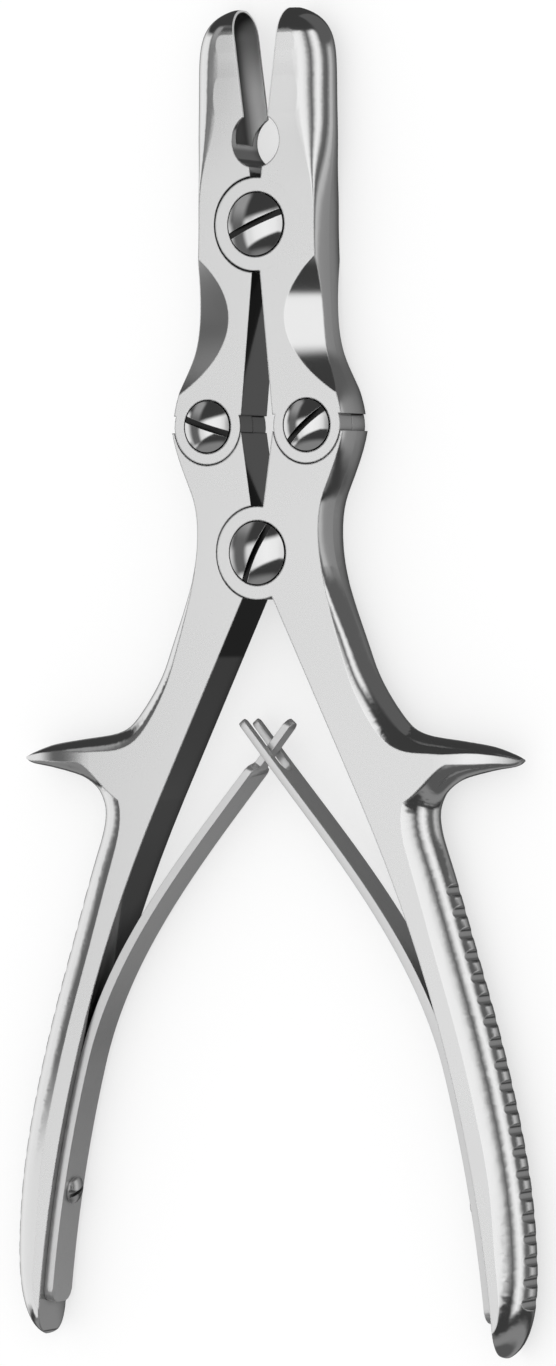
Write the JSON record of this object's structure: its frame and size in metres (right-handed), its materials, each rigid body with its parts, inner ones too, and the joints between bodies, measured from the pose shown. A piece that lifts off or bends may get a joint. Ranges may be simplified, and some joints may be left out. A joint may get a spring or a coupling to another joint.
{
  "type": "bone rongeur",
  "caption": "Double-action bone rongeur with cupped jaws on a four-pivot linkage, spurred and grooved handles, and crossed leaf springs that hold it open.",
  "frame": {"origin": "on the axis of the handle pivot, in the plane of the flat back that the instrument lies on", "axes": "+Y towards the jaw tips, +Z out of the front face with the screw heads, +X to the right handle"},
  "size_m": [0.1194, 0.27, 0.0119],
  "materials": {
    "forged_steel": "satin flats, polished edges and grips",
    "screw_steel": "polished",
    "spring_steel": "brushed"
  },
  "bodies": {
    "left_handle_body": {"left_handle": "forged_steel", "handle_pivot_screw": "screw_steel", "left_link_screw": "screw_steel", "left_leaf_spring": "spring_steel", "left_spring_screw": "screw_steel"},
    "right_handle_body": {"right_handle": "forged_steel", "right_link_screw": "screw_steel", "right_leaf_spring": "spring_steel", "right_spring_screw": "screw_steel"},
    "left_jaw_body": {"left_jaw": "forged_steel", "jaw_pivot_screw": "screw_steel"},
    "right_jaw_body": {"right_jaw": "forged_steel"}
  },
  "joints": [
    {"name": "handle_fold", "type": "hinge", "parent": "left_handle_body", "child": "right_handle_body", "pos_m": [0, 0, 0.00525], "axis": [0, 0, -1], "range_deg": [-8, 23.8], "stiffness_Nm_per_rad": 6, "deforming": ["left_leaf_spring", "right_leaf_spring"]},
    {"name": "left_link", "type": "hinge", "parent": "left_handle_body", "child": "left_jaw_body", "pos_m": [-0.0115, 0.0256, 0.00525], "axis": [0, 0, -1], "range_deg": [-6.6, 19.3]},
    {"name": "right_link", "type": "hinge", "parent": "right_handle_body", "child": "right_jaw_body", "pos_m": [0.0115, 0.0256, 0.00525], "axis": [0, 0, 1], "range_deg": [-6.6, 19.3]}
  ],
  "couplings": [
    {"joint": "left_link", "follows": "handle_fold", "ratio": 0.805},
    {"joint": "right_link", "follows": "handle_fold", "ratio": 0.805}
  ]
}
